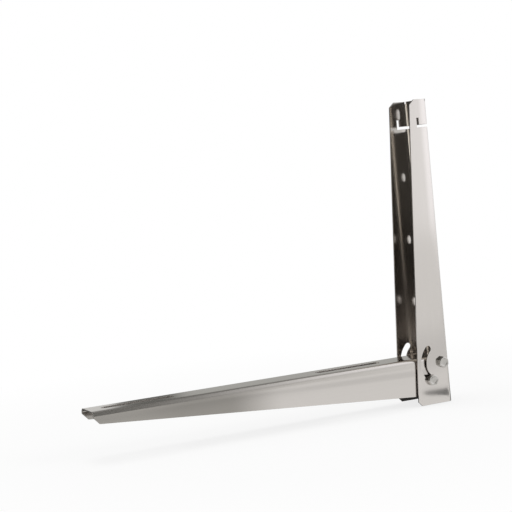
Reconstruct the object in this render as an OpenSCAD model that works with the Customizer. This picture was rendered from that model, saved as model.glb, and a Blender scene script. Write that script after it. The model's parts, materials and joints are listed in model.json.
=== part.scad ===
// Folding wall bracket bent from stainless steel sheet.
// A channel that bolts to the wall carries a second channel, which drops down into an arm.
// X runs out from the wall, Y across the bracket, from nut to bolt head, and Z up.
// The origin is on the wall plane, level with the pivot and midway between the flanges.

/* [Sheet] */
// Thickness of the sheet that both channels are folded from
sheet_t = 2; // [1.5:0.1:2.5]
// Radius on the inside of the upright's bends
upright_bend_r = 2.5; // [1:0.5:3.5]
// Radius on the inside of the arm's bends
arm_bend_r = 3.5; // [1.5:0.5:5]

/* [Upright] */
// Height of the upright
upright_h = 400; // [360:5:500]
// Width across the upright's back, from bend to bend
upright_w = 52.5; // [46:0.5:62]
// Depth of the flanges at the top
flange_top_d = 26; // [24:0.5:32]
// Depth of the flanges at the foot
flange_foot_d = 52; // [47:0.5:60]
// Angle that each flange stands open past square, from spring in the sheet
flange_splay = 1.5; // [0:0.5:2]
// Size of the corner cut off the top of each flange
top_corner = 6.5; // [2:0.5:8]
// Size of the corner cut off the foot of each flange
foot_corner = 5.5; // [2:0.5:7]
// Width of the relief notch at the top of each bend
relief_w = 2.6; // [1.5:0.1:3.5]
// Depth of the relief notch below the top edge
relief_d = 3; // [1.5:0.5:5]

/* [Wall holes] */
// Diameter of the holes for wall bolts
wall_hole_d = 11; // [8:0.5:14]
// Height of the lowest wall hole above the pivot
wall_hole_up = 75.5; // [60:0.5:90]
// Distance from each wall hole to the next
wall_hole_pitch = 85; // [70:1:90]
// Length from end to end of the slotted hole at the top
wall_slot_len = 15; // [14:0.5:18]
// Distance from the top edge down to the middle of the slotted hole
wall_slot_down = 16; // [14:0.5:18]

/* [Hanging rail slit] */
// Height of the slit that a cross rail hooks into
slit_t = 3.5; // [2.5:0.5:5]
// Distance from the top edge down to the lower edge of the slit
slit_down = 36.5; // [34:0.5:40]
// Distance from the wall plane to the far side of the slit's rising leg
slit_out = 17.5; // [13:0.5:18]
// Height of the slit's rising leg from the lower edge of the slit
slit_leg_h = 12.5; // [8:0.5:16]
// Height of the wider slot across the back, where the rail lies
rail_slot_h = 7; // [5:0.5:9]
// Clear width of that wider slot
rail_slot_w = 38; // [30:1:38]

/* [Pivot and fold] */
// Height of the pivot above the foot of the upright
pivot_up = 53.5; // [50:0.5:60]
// Distance of the pivot from the wall plane
pivot_out = 10.9; // [10.5:0.1:13]
// Distance from the pivot to the guide bolt
guide_r = 28; // [25:0.5:29]
// Angle of the guide bolt below the level when the arm is down
guide_drop = 49; // [35:1:50]
// Angle that the arm folds through, up against the wall
fold_angle = 90; // [60:1:90]
// Angle that the curved slots run on past the guide bolt of the folded arm
guide_spare = 4; // [0:1:6]
// Clearance across the guide bolt in its curved slot
guide_play = 0.5; // [0.2:0.1:1]

/* [Arm] */
// Reach of the arm from the wall plane
arm_reach = 492; // [420:1:600]
// Depth of the arm's sides at the wall end
arm_root_d = 53.2; // [50:0.1:56]
// Depth of the arm's sides at the tip
arm_tip_d = 14.6; // [13:0.1:24]
// Size of the corner cut off the underside of the tip
tip_corner = 7.5; // [3:0.5:10]
// Size of the corner cut off the underside of the wall end
root_corner = 5; // [2:0.5:8]
// How far the arm's top plate reaches behind the pivot
plate_back = 2; // [0:0.5:2.5]
// Gap on each side between the arm and the upright
side_gap = 1; // [0.5:0.1:1.5]
// Gap between the folded arm's top plate and the upright's back
fold_gap = 0.5; // [0.3:0.1:1]
// Gap between the arm's rear edges and the upright's back
rear_gap = 1.8; // [1.4:0.1:2.5]

/* [Arm slots] */
// Width of the slots for the feet of the unit
foot_slot_w = 12; // [8:0.5:16]
// Length of each slot from end to end
foot_slot_len = 93; // [60:1:110]
// Distance from the wall plane to the middle of the inner slot
foot_slot_in = 137.5; // [110:0.5:150]
// Distance from the arm's tip to the middle of the outer slot
foot_slot_out = 64.5; // [60:0.5:120]

/* [Bolts] */
// Diameter of the bolts
bolt_d = 8; // [6:0.5:8]
// Clearance across a bolt in its holes
bolt_play = 0.2; // [0.05:0.05:0.6]
// Distance across the flats of the heads and nuts
hex_af = 13; // [12:0.5:14]
// Height of a bolt head
head_h = 5.3; // [4:0.1:6.5]
// Height of a nut
nut_h = 6.5; // [5:0.1:8]
// Length of the guide bolt that stands proud of its nut
bolt_proud = 1.5; // [0.8:0.1:5]
// Chamfer on the end of a bolt
bolt_chamfer = 0.7; // [0.3:0.1:0.8]
// Diameter of a flat washer
washer_d = 16; // [14:0.5:17]
// Thickness of a flat washer
washer_t = 1.6; // [1:0.1:2]
// Diameter of a spring washer
spring_d = 14.8; // [13:0.1:15.5]
// Thickness of a spring washer
spring_t = 2; // [1.5:0.1:2.5]
// Width of the split in a spring washer
spring_split = 1.4; // [0.8:0.1:2]
// Clearance across a bolt in its washers and nut
washer_play = 0.2; // [0.1:0.1:0.6]
// Gap on each side that lets the guide washers slide on the upright
slide_gap = 0.1; // [0.05:0.05:0.3]

/* [Hidden] */
$fn = 96;
// Extra length that carries a cut clear through its wall
cut = 2;
// Width that clears both flanges of the upright
span_w = 1.5 * upright_w;
upright_foot_z = -pivot_up;
upright_top_z = upright_h - pivot_up;
slit_z = upright_top_z - slit_down;
wall_slot_z = upright_top_z - wall_slot_down;
arm_w = upright_w - 2 * sheet_t - 2 * side_gap;
arm_top_z = pivot_out - sheet_t - fold_gap;
arm_root_x = sheet_t + rear_gap;
ear_r = pivot_out - arm_root_x;
arm_root_z = arm_top_z - arm_root_d;
arm_tip_z = arm_top_z - arm_tip_d;
arm_rise = (arm_tip_z - arm_root_z) / (arm_reach - arm_root_x);
guide_x = guide_r * cos(guide_drop);
guide_z = -guide_r * sin(guide_drop);
guide_end = fold_angle + guide_spare - guide_drop;
hole_d = bolt_d + bolt_play;
// Y of the bolt heads' seats, clear of the flange all the way round and through the fold
pivot_seat = flange_face_y(pivot_out + washer_d / 2);
guide_seat = flange_face_y(pivot_out + guide_r + washer_d / 2) + slide_gap;
bolt_len = 2 * guide_seat + washer_t + spring_t + nut_h + bolt_proud;
hex_chamfer_r = 0.955 * hex_af / 2;
hex_chamfer_a = 30;

// Y of the outer face of the upright's flange, x from the wall plane
function flange_face_y(x) =
    let (r = upright_bend_r + sheet_t)
    upright_w / 2 + r * (1 / cos(flange_splay) - 1) + (x - r) * tan(flange_splay);

// Area between the faces of a channel's sides, with rounded corners where it starts at x = 0
module channel_outline(w, d, r, splay) {
    corner_y = w / 2 - r;
    start = [r - r * sin(splay), corner_y + r * cos(splay)];
    end = start + d * [1, tan(splay)];
    polygon([[start.x, -start.y], [end.x, -end.y], end, start]);
    translate([0, -corner_y]) square([d, 2 * corner_y]);
    for (s = [-1, 1]) translate([r, s * corner_y]) circle(r = r);
}

// Section of a channel folded from sheet, with its back at x = 0
module channel_section(w, d, bend_r, splay = 0) {
    difference() {
        channel_outline(w, d, bend_r + sheet_t, splay);
        translate([sheet_t, 0]) channel_outline(w - 2 * sheet_t, d + cut, bend_r, splay);
    }
}

// Slot with round ends that runs along x
module slot_outline(len, w) {
    square([len - w, w], center = true);
    for (s = [-1, 1]) translate([s * (len - w) / 2, 0]) circle(d = w);
}

// Outline drawn in X and Z, carried across the bracket
module across(w) {
    rotate([90, 0, 0]) linear_extrude(height = w, center = true) children();
}

// Piece drawn on the z axis, laid on a bolt's axis with z along Y
module on_axis(x, z) {
    translate([x, 0, z]) rotate([-90, 0, 0]) children();
}

module upright_outline() {
    flange_d = flange_foot_d - flange_top_d;
    polygon([
        [-cut, upright_foot_z],
        [flange_foot_d - foot_corner, upright_foot_z],
        [flange_foot_d - flange_d * foot_corner / upright_h, upright_foot_z + foot_corner],
        [flange_top_d + flange_d * top_corner / upright_h, upright_top_z - top_corner],
        [flange_top_d - top_corner, upright_top_z],
        [-cut, upright_top_z]
    ]);
}

// Curved slot that the guide bolt runs in, about the pivot
module guide_slot_outline() {
    w = bolt_d + guide_play;
    far = 2 * guide_r;
    middle = (guide_end - guide_drop) / 2;
    translate([pivot_out, 0]) {
        intersection() {
            difference() {
                circle(r = guide_r + w / 2);
                circle(r = guide_r - w / 2);
            }
            polygon([
                [0, 0],
                far * [cos(guide_drop), -sin(guide_drop)],
                far * [cos(middle), sin(middle)],
                far * [cos(guide_end), sin(guide_end)]
            ]);
        }
        for (a = [-guide_drop, guide_end])
            translate(guide_r * [cos(a), sin(a)]) circle(d = w);
    }
}

// Slit for a cross rail: back through the bends, and up at its front end
module slit_outline() {
    translate([-cut, slit_z]) square([slit_out + cut, slit_t]);
    translate([slit_out - slit_t, slit_z]) square([slit_t, slit_leg_h]);
}

module wall_holes() {
    for (i = [0:2])
        translate([-cut, 0, wall_hole_up + i * wall_hole_pitch])
            rotate([0, 90, 0]) cylinder(d = wall_hole_d, h = sheet_t + 2 * cut);
    translate([-cut, 0, wall_slot_z]) rotate([0, 90, 0])
        linear_extrude(sheet_t + 2 * cut) slot_outline(wall_slot_len, wall_hole_d);
}

module rail_slot() {
    translate([-cut, 0, slit_z + slit_t - rail_slot_h / 2]) rotate([90, 0, 90])
        linear_extrude(sheet_t + 2 * cut) slot_outline(rail_slot_w, rail_slot_h);
}

// Notch that let the blank fold without tearing at the top of each bend
module relief_notches() {
    outer_r = upright_bend_r + sheet_t;
    for (s = [-1, 1])
        translate([outer_r, s * (upright_w / 2 - outer_r), upright_top_z - relief_d])
            rotate([0, 0, s * 135]) translate([0, -relief_w / 2, 0])
                cube([2 * outer_r, relief_w, relief_d + cut]);
}

module upright() {
    color("silver") difference() {
        intersection() {
            translate([0, 0, upright_foot_z - cut]) linear_extrude(upright_h + 2 * cut)
                channel_section(upright_w, flange_foot_d + cut, upright_bend_r, flange_splay);
            across(span_w) upright_outline();
        }
        across(span_w) slit_outline();
        across(span_w) guide_slot_outline();
        on_axis(pivot_out, 0) cylinder(d = hole_d, h = span_w, center = true);
        wall_holes();
        rail_slot();
        relief_notches();
    }
}

// Side of the arm, with an ear about the pivot that clears the upright as it folds
module arm_outline() {
    translate([pivot_out, 0]) circle(r = ear_r);
    polygon([
        [arm_root_x, 0],
        [arm_root_x, arm_root_z + root_corner],
        [arm_root_x + root_corner, arm_root_z + arm_rise * root_corner],
        [arm_reach - tip_corner, arm_tip_z - arm_rise * tip_corner],
        [arm_reach, arm_tip_z + tip_corner],
        [arm_reach, arm_top_z + cut],
        [pivot_out - plate_back, arm_top_z + cut],
        [pivot_out - plate_back, 0]
    ]);
}

module arm() {
    color("silver") difference() {
        intersection() {
            translate([0, 0, arm_top_z]) rotate([0, 90, 0]) linear_extrude(arm_reach + cut)
                channel_section(arm_w, arm_root_d + cut, arm_bend_r);
            across(arm_w + 2 * cut) arm_outline();
        }
        for (x = [foot_slot_in, arm_reach - foot_slot_out])
            translate([x, 0, arm_top_z - sheet_t - cut])
                linear_extrude(sheet_t + 2 * cut) slot_outline(foot_slot_len, foot_slot_w);
        for (p = [[pivot_out, 0], [pivot_out + guide_x, guide_z]])
            on_axis(p[0], p[1]) cylinder(d = hole_d, h = arm_w + 2 * cut, center = true);
    }
}

// Hexagon from z = 0 to h, with its corners turned back at the top
module hex_body(h) {
    intersection() {
        cylinder(d = hex_af / cos(30), h = h, $fn = 6);
        cylinder(r1 = hex_chamfer_r + h / tan(hex_chamfer_a), r2 = hex_chamfer_r, h = h);
    }
}

// Bolt across both channels, with the underside of its head at head_y
module hex_bolt(head_y) {
    end_y = head_y - bolt_len;
    translate([0, 0, head_y]) hex_body(head_h);
    translate([0, 0, end_y + bolt_chamfer])
        cylinder(d = bolt_d, h = head_y - end_y - bolt_chamfer + head_h / 2);
    translate([0, 0, end_y])
        cylinder(d1 = bolt_d - 2 * bolt_chamfer, d2 = bolt_d, h = bolt_chamfer);
}

module flat_washer(y) {
    translate([0, 0, y]) difference() {
        cylinder(d = washer_d, h = washer_t);
        translate([0, 0, -cut]) cylinder(d = bolt_d + washer_play, h = washer_t + 2 * cut);
    }
}

// Split ring, pressed flat under the nut
module spring_washer(y) {
    slant = 25;
    translate([0, 0, y]) difference() {
        cylinder(d = spring_d, h = spring_t);
        translate([0, 0, -cut]) cylinder(d = bolt_d + washer_play, h = spring_t + 2 * cut);
        translate([bolt_d / 4, 0, spring_t / 2]) rotate([slant, 0, 0])
            translate([0, -spring_split / 2, -2 * spring_t])
                cube([spring_d, spring_split, 4 * spring_t]);
    }
}

// Nut with both faces chamfered, its seat at y and its body on the side of smaller y
module hex_nut(y) {
    translate([0, 0, y - nut_h]) difference() {
        intersection() {
            hex_body(nut_h);
            translate([0, 0, nut_h]) mirror([0, 0, 1]) hex_body(nut_h);
        }
        translate([0, 0, -cut]) cylinder(d = bolt_d + washer_play, h = nut_h + 2 * cut);
    }
}

// One piece of a bolt's set: the head seats at seat on one side, the washer on the other
module fastener(piece, seat) {
    washer_y = -seat - washer_t;
    spring_y = washer_y - spring_t;
    if (piece == "bolt") hex_bolt(seat);
    if (piece == "washer") flat_washer(washer_y);
    if (piece == "spring_washer") spring_washer(spring_y);
    if (piece == "nut") hex_nut(spring_y);
}

module pivot_part(piece) {
    hex_turn = 30;
    color("gainsboro") on_axis(pivot_out, 0) rotate([0, 0, hex_turn])
        fastener(piece, pivot_seat);
}

module guide_part(piece) {
    color("gainsboro") on_axis(pivot_out + guide_x, guide_z) fastener(piece, guide_seat);
}

module pivot_bolt() { pivot_part("bolt"); }
module pivot_washer() { pivot_part("washer"); }
module pivot_spring_washer() { pivot_part("spring_washer"); }
module pivot_nut() { pivot_part("nut"); }
module guide_bolt() { guide_part("bolt"); }
module guide_washer() { guide_part("washer"); }
module guide_spring_washer() { guide_part("spring_washer"); }
module guide_nut() { guide_part("nut"); }

upright();
arm();
pivot_bolt();
pivot_washer();
pivot_spring_washer();
pivot_nut();
guide_bolt();
guide_washer();
guide_spring_washer();
guide_nut();
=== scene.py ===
"""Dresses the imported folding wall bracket: soft sheet edges, threads, steel finishes and a studio."""
import json
import math

import bmesh
import bpy
from bpy.props import FloatProperty, FloatVectorProperty, PointerProperty
from mathutils import Matrix, Vector
from mathutils.geometry import delaunay_2d_cdt

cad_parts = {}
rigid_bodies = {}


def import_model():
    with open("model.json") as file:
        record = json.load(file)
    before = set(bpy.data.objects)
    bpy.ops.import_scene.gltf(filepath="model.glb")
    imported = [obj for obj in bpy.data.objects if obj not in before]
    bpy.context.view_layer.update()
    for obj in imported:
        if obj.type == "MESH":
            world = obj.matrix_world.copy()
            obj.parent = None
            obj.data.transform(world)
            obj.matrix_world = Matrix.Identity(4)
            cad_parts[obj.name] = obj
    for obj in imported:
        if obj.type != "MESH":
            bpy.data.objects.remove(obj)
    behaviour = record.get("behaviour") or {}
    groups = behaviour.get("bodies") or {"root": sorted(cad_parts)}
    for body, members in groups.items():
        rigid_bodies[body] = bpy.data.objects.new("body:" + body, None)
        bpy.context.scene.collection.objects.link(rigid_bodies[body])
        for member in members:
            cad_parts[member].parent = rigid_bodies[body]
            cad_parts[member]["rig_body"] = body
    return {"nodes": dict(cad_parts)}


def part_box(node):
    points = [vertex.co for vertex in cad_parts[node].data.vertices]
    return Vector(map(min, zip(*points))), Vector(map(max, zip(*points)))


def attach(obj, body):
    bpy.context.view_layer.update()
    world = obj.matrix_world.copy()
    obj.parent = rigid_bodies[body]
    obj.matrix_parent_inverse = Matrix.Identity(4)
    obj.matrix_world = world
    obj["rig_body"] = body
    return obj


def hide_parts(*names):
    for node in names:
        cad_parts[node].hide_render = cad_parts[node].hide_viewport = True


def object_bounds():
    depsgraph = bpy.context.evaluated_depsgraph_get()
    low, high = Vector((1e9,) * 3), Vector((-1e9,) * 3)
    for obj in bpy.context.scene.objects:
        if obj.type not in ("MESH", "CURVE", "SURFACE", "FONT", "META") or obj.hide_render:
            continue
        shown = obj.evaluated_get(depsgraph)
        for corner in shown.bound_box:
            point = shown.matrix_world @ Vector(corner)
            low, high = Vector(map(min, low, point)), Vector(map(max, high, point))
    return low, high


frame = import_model()
CAD_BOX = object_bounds()

bl_info = {
    "name": "Folding Wall Bracket",
    "version": (1, 0, 0),
    "blender": (4, 5, 0),
    "location": "3D View > Sidebar > Bracket",
    "description": "Dresses a folding stainless steel wall bracket and sets up its studio",
    "category": "Object",
}

# Frame of the photograph, in pixels
IMAGE_SIZE = 512
# The bracket hangs clear of the floor
FLOOR_LEVEL = CAD_BOX[0][2] - 0.001
MM = 0.001
AXIS_X, AXIS_Z = 0, 2
# Facets of a full circle, of a washer, of a bend and of a rounded cut edge
CIRCLE_STEPS = 72
RING_STEPS = 96
BEND_STEPS = 8
EDGE_STEPS = 3
WALL_HOLES = 3
# A fastener's faces that meet at more than this angle keep a sharp edge
CREASE = math.radians(40)
# How far from a bend the flat draws in, in metres, and its slope at the bend
DRAW_REACH = 0.009
DRAW_SLOPE = 0.04


def length(name, description, value):
    """A size in millimetres."""
    return FloatProperty(name=name, description=description, default=value, min=0, precision=2)


class SheetSettings(bpy.types.PropertyGroup):
    """Sizes in millimetres, and the finish of both channels"""
    thickness: length("Thickness", "Thickness of the sheet", 2)
    edge_round: length("Edge rounding", "Radius that deburring leaves on the cut edges", 0.25)
    edge_band: length("Edge band", "Width of the worn band beside a cut edge", 1.1)
    steel: FloatVectorProperty(
        name="Steel", description="Colour of the polished sheet",
        subtype="COLOR", size=3, min=0, max=1, default=(0.71, 0.675, 0.65))
    roughness: FloatProperty(
        name="Roughness", description="Roughness of the polished sheet",
        default=0.10, min=0, max=1)


class UprightSettings(bpy.types.PropertyGroup):
    """Sizes of the upright in millimetres"""
    width: length("Width", "Width across the back", 52.5)
    foot: FloatProperty(
        name="Foot", description="Height of the foot", default=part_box("upright")[0].z / MM)
    top: length("Top", "Height of the top edge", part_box("upright")[1].z / MM)
    bend: length("Bend", "Outer radius of the bends", 4.5)
    splay: FloatProperty(
        name="Splay", description="Angle that the flanges stand open past square",
        default=math.radians(1.5), subtype="ANGLE")
    top_depth: length("Top depth", "Depth of the flanges at the top", 26)
    foot_depth: length("Foot depth", "Depth of the flanges at the foot", 52)
    top_corner: length("Top corner", "Corner cut off the top of each flange", 6.5)
    foot_corner: length("Foot corner", "Corner cut off the foot of each flange", 5.5)
    notch_width: length("Notch width", "Width of the relief notches", 2.6)
    notch_depth: length("Notch depth", "Depth of the relief notches", 3)
    hole: length("Wall hole", "Diameter of the wall holes", 11)
    first_hole: length("First hole", "Height of the lowest wall hole above the pivot", 75.5)
    pitch: length("Hole pitch", "Distance from each wall hole to the next", 85)
    top_slot: length("Top hole", "Length of the slotted hole", 15)
    top_slot_down: length("Top hole drop", "Distance of the slotted hole below the top edge", 16)
    slit: length("Slit", "Height of the rail slit", 3.5)
    slit_down: length("Slit drop", "Distance of the slit's lower edge below the top edge", 36.5)
    slit_reach: length("Slit reach", "Distance from the wall to the end of the slit", 17.5)
    slit_leg: length("Slit leg", "Height of the slit's rising leg", 12.5)
    rail_slot: length("Rail slot", "Width of the wider slot in the back", 38)
    rail_slot_height: length("Rail slot height", "Height of the wider slot in the back", 7)


class ArmSettings(bpy.types.PropertyGroup):
    """Sizes of the arm in millimetres"""
    width: length("Width", "Width across the arm", 46.5)
    top: length("Top", "Height of the arm's top face above the pivot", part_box("arm")[1].z / MM)
    root: length("Root", "Distance from the wall to the arm's rear edges", 3.8)
    reach: length("Reach", "Distance from the wall to the tip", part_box("arm")[1].x / MM)
    bend: length("Bend", "Outer radius of the bends", 5.5)
    plate_start: length("Plate start", "Distance from the wall to the top plate", 8.9)
    ear: length("Ear", "Radius of the ears about the pivot", 7.1)
    root_depth: length("Root depth", "Depth of the sides at the wall end", 53.2)
    tip_depth: length("Tip depth", "Depth of the sides at the tip", 14.6)
    tip_corner: length("Tip corner", "Corner cut off the underside of the tip", 7.5)
    root_corner: length("Root corner", "Corner cut off the underside of the wall end", 5)
    slot_width: length("Slot width", "Width of the slots for the feet", 12)
    slot_length: length("Slot length", "Length of the slots for the feet", 93)
    inner_slot: length("Inner slot", "Distance from the wall to the middle of the inner slot", 137.5)
    outer_slot: length("Outer slot", "Distance from the tip to the middle of the outer slot", 64.5)


class FoldSettings(bpy.types.PropertyGroup):
    """Sizes of the pivot and of the curved guide slots in millimetres"""
    pivot_out: length("Pivot", "Distance of the pivot from the wall", 10.9)
    guide: length("Guide radius", "Distance from the pivot to the guide bolt", 28)
    drop: FloatProperty(
        name="Drop", description="Angle of the guide bolt below the level",
        default=math.radians(49), subtype="ANGLE")
    turn: FloatProperty(
        name="Turn", description="Angle from end to end of the curved slots",
        default=math.radians(94), subtype="ANGLE")
    slot: length("Slot", "Width of the curved slots", 8.5)
    hole: length("Hole", "Diameter of the bolt holes", 8.2)


class FastenerSettings(bpy.types.PropertyGroup):
    """Sizes of the bolts, nuts and washers in millimetres"""
    bolt: length("Bolt", "Diameter of the bolts", 8)
    flats: length("Flats", "Distance across the flats of heads and nuts", 13)
    head: length("Head", "Height of a bolt head", 5.3)
    thread_pitch: length("Pitch", "Pitch of the thread", 1.25)
    thread_depth: length("Thread depth", "Depth of the thread", 0.62)
    thread_length: length("Thread length", "Length of the thread on each bolt", 26)
    bore: length("Bore", "Diameter of the bores in nuts and washers", 8.2)
    edge: length("Edge", "Radius on the edges of the washers", 0.3)
    split: length("Split", "Width of the split in the spring washers", 1.4)
    steel: FloatVectorProperty(
        name="Steel", description="Colour of the bolts, nuts and washers",
        subtype="COLOR", size=3, min=0, max=1, default=(0.62, 0.60, 0.575))
    roughness: FloatProperty(
        name="Roughness", description="Roughness of the bolts, nuts and washers",
        default=0.22, min=0, max=1)


class StudioSettings(bpy.types.PropertyGroup):
    """Lens and place of the camera"""
    lens: FloatProperty(
        name="Lens", description="Focal length in pixels of the square image",
        default=1407.36, min=100)
    yaw: FloatProperty(
        name="Yaw", description="Heading of the view", default=math.radians(246.02), subtype="ANGLE")
    pitch: FloatProperty(
        name="Pitch", description="Rise of the view", default=math.radians(-3.539), subtype="ANGLE")
    roll: FloatProperty(
        name="Roll", description="Roll of the view", default=math.radians(-5.469), subtype="ANGLE")
    distance: FloatProperty(
        name="Distance", description="Distance from the middle of the upright",
        default=1.876414, unit="LENGTH")
    across: FloatProperty(
        name="Across", description="Offset of the camera to the left", default=0.230959, unit="LENGTH")
    down: FloatProperty(
        name="Down", description="Offset of the camera down", default=0.006942, unit="LENGTH")
    centre_x: FloatProperty(
        name="Centre X", description="Image column of the lens axis", default=255.698)
    centre_y: FloatProperty(
        name="Centre Y", description="Image row of the lens axis", default=255.434)


def new_material(name):
    """A new material with its node tree and its shader."""
    material = bpy.data.materials.new(name)
    material.use_nodes = True
    tree = material.node_tree
    return material, tree, tree.nodes["Principled BSDF"]


def node(tree, kind, inputs=None, **settings):
    """A new node, its inputs given as values or as sockets to link."""
    made = tree.nodes.new(kind)
    for key, value in settings.items():
        setattr(made, key, value)
    for key, value in (inputs or {}).items():
        socket = made.inputs[key]
        if isinstance(value, bpy.types.NodeSocket):
            tree.links.new(value, socket)
        else:
            socket.default_value = value
    return made


def noise(tree, place, scale, detail=3.0):
    """Noise stretched by a scale for each direction."""
    spread = node(tree, "ShaderNodeMapping", {"Vector": place, "Scale": scale})
    return node(tree, "ShaderNodeTexNoise", {
        "Vector": spread.outputs[0], "Scale": 1.0, "Detail": detail}).outputs["Fac"]


def remap(tree, value, low, high, to_low, to_high):
    """The value carried from one range to another, and held at its ends."""
    return node(tree, "ShaderNodeMapRange", {
        "Value": value, "From Min": low, "From Max": high,
        "To Min": to_low, "To Max": to_high}).outputs[0]


def op(tree, operation, *values):
    """The result of a maths node on these values."""
    return node(tree, "ShaderNodeMath", dict(enumerate(values)), operation=operation).outputs[0]


def mix_colour(tree, share, first, second):
    """The first colour, with a share of the second over it."""
    made = node(tree, "ShaderNodeMix", data_type="RGBA")
    for socket, value in ((0, share), (6, first), (7, second)):
        if isinstance(value, bpy.types.NodeSocket):
            tree.links.new(value, made.inputs[socket])
        elif socket == 0:
            made.inputs[socket].default_value = value
        else:
            made.inputs[socket].default_value = (*value, 1)
    return made.outputs[2]


def toned(colour, tone):
    return [min(c * tone, 1) for c in colour]


def sheet_finish(name, settings, fold):
    """Polished sheet: rolling grain along the blank, faint scratches, worn edges and marked bends."""
    material, tree, shader = new_material(name)
    shader.inputs["Metallic"].default_value = 1
    blank = node(tree, "ShaderNodeUVMap", uv_map="blank").outputs[0]
    edge = node(tree, "ShaderNodeAttribute", attribute_name="edge").outputs["Fac"]
    across = node(tree, "ShaderNodeSeparateXYZ", {0: blank}).outputs["X"]
    grain = noise(tree, blank, (4200, 26, 1), 4.0)
    streaks = noise(tree, blank, (420, 3.5, 1), 2.0)
    clouds = noise(tree, blank, (26, 9, 1), 2.0)
    # Marks that the press leaves beside each bend
    middle = (fold.flat + fold.radius * fold.turn / 2) * MM
    half = fold.radius * fold.turn / 2 * MM
    from_bend = op(tree, "ABSOLUTE", op(tree, "SUBTRACT", op(tree, "ABSOLUTE", across), middle))
    bend = remap(tree, from_bend, half * 0.8, half * 1.3, 1.0, 0.0)
    mark = remap(tree, op(tree, "ABSOLUTE", op(tree, "SUBTRACT", from_bend, half * 1.45)),
                 0.0, 0.0006, 1.0, 0.0)
    # Long thin handling scratches
    tilt = node(tree, "ShaderNodeMapping", {
        "Vector": blank, "Rotation": (0, 0, 0.5), "Scale": (900, 9, 1)})
    scratch = node(tree, "ShaderNodeTexNoise", {"Vector": tilt.outputs[0], "Scale": 1.0, "Detail": 1.0})
    scratch = remap(tree, scratch.outputs["Fac"], 0.70, 0.76, 0.0, 1.0)

    steel = settings.steel
    streaks = remap(tree, streaks, 0.3, 0.7, 0.0, 1.0)
    colour = mix_colour(tree, streaks, toned(steel, 0.99), toned(steel, 1.005))
    colour = mix_colour(tree, op(tree, "MULTIPLY", bend, 0.35), colour, toned(steel, 0.88))
    colour = mix_colour(tree, op(tree, "MULTIPLY", edge, 0.5), colour, toned(steel, 1.12))
    tree.links.new(colour, shader.inputs["Base Color"])

    rough = remap(tree, grain, 0.25, 0.75, settings.roughness * 0.9, settings.roughness * 1.12)
    for place, amount in (
            (remap(tree, clouds, 0.35, 0.7, 0.0, 1.0), 0.025), (bend, 0.07), (edge, 0.1),
            (op(tree, "MAXIMUM", scratch, mark), 0.06)):
        rough = op(tree, "ADD", rough, op(tree, "MULTIPLY", place, amount))
    tree.links.new(rough, shader.inputs["Roughness"])

    # The flat draws in a little beside each bend
    draw = op(tree, "MAXIMUM", op(tree, "SUBTRACT", half + DRAW_REACH, from_bend), 0.0)
    draw = op(tree, "MULTIPLY", op(tree, "POWER", draw, 2.0), -DRAW_SLOPE / (2 * DRAW_REACH))
    drawn = node(tree, "ShaderNodeBump", {"Height": draw, "Strength": 1.0, "Distance": 1.0})
    wave = node(tree, "ShaderNodeBump", {
        "Normal": drawn.outputs[0],
        "Height": noise(tree, blank, (30, 7, 1), 1.0), "Strength": 1.0, "Distance": 0.000006})
    marked = node(tree, "ShaderNodeBump", {
        "Height": op(tree, "SUBTRACT", grain, op(
            tree, "ADD", op(tree, "MULTIPLY", scratch, 2.0), mark)),
        "Strength": 0.5, "Distance": 0.0000003, "Normal": wave.outputs[0]})
    tree.links.new(marked.outputs[0], shader.inputs["Normal"])
    return material


def cut_finish(name, settings):
    """Cut edge of the sheet: a burnished band and a torn band, streaked through the thickness."""
    material, tree, shader = new_material(name)
    shader.inputs["Metallic"].default_value = 1
    strip = node(tree, "ShaderNodeUVMap", uv_map="strip").outputs[0]
    streaks = noise(tree, strip, (5200, 240, 1), 3.0)
    depth = node(tree, "ShaderNodeSeparateXYZ", {0: strip}).outputs["Y"]
    wander = op(tree, "MULTIPLY", noise(tree, strip, (700, 0, 1), 2.0), 0.0008)
    torn = remap(tree, op(tree, "ADD", depth, wander), 0.0012, 0.0014, 0.0, 1.0)
    colour = mix_colour(tree, torn, toned(settings.steel, 1.04), toned(settings.steel, 0.72))
    tree.links.new(colour, shader.inputs["Base Color"])
    rough = op(tree, "ADD", remap(tree, streaks, 0.3, 0.7, 0.22, 0.36), op(tree, "MULTIPLY", torn, 0.14))
    tree.links.new(rough, shader.inputs["Roughness"])
    bump = node(tree, "ShaderNodeBump", {"Height": streaks, "Strength": 0.6, "Distance": 0.00003})
    tree.links.new(bump.outputs[0], shader.inputs["Normal"])
    return material


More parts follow.
